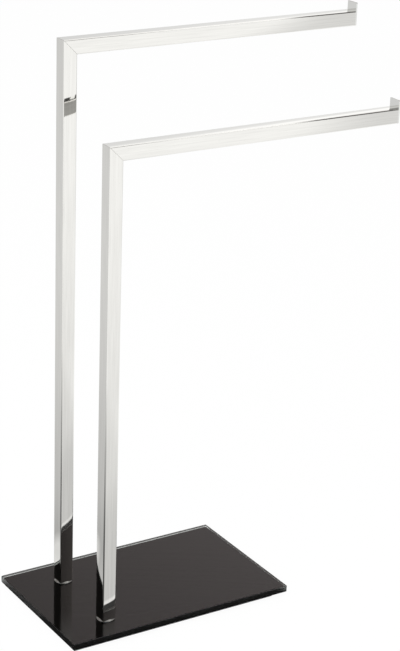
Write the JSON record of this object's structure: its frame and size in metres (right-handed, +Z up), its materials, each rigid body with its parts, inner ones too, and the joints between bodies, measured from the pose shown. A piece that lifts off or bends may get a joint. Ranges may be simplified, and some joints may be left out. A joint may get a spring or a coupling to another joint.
{
  "type": "freestanding towel stand",
  "caption": "Freestanding towel stand: a tall and a shorter square-tube frame, each with a level arm ending in an upturned stop, bolted to a rectangular black glass base plate on rubber feet.",
  "frame": {"origin": "on the floor, at the middle of the stand's outline seen from above", "axes": "+Z up, +X the way both arms point, -Y the front, where the shorter frame stands"},
  "size_m": [0.559, 0.235, 0.865],
  "materials": {
    "chrome_tube": "bright chrome plate on polished steel tube",
    "chrome_plate": "bright chrome plate on flat steel",
    "chrome_washer": "bright chrome plate on turned steel",
    "clear_glass": "clear toughened glass, polished edges",
    "black_coat": "opaque black back coat",
    "black_rubber": "moulded, matt",
    "nylon": "moulded natural nylon",
    "zinc_plated_steel": "bright zinc plate"
  },
  "bodies": {
    "root": {"tall_post": "chrome_tube", "tall_arm": "chrome_tube", "short_post": "chrome_tube", "short_arm": "chrome_tube", "tall_arm_stop": "chrome_plate", "short_arm_stop": "chrome_plate", "tall_post_washer": "chrome_washer", "short_post_washer": "chrome_washer", "glass_base_plate": "clear_glass", "black_back_coat": "black_coat", "rubber_foot_front_left": "black_rubber", "rubber_foot_front_right": "black_rubber", "rubber_foot_back_left": "black_rubber", "rubber_foot_back_right": "black_rubber", "tall_clamp_gasket": "black_rubber", "short_clamp_gasket": "black_rubber", "tall_post_gasket": "black_rubber", "short_post_gasket": "black_rubber", "tall_corner_key": "nylon", "short_corner_key": "nylon", "tall_bolt_sleeve": "nylon", "short_bolt_sleeve": "nylon", "tall_foot_plug": "zinc_plated_steel", "short_foot_plug": "zinc_plated_steel", "tall_clamp_washer": "zinc_plated_steel", "short_clamp_washer": "zinc_plated_steel", "tall_post_bolt": "zinc_plated_steel", "short_post_bolt": "zinc_plated_steel"}
  },
  "joints": []
}
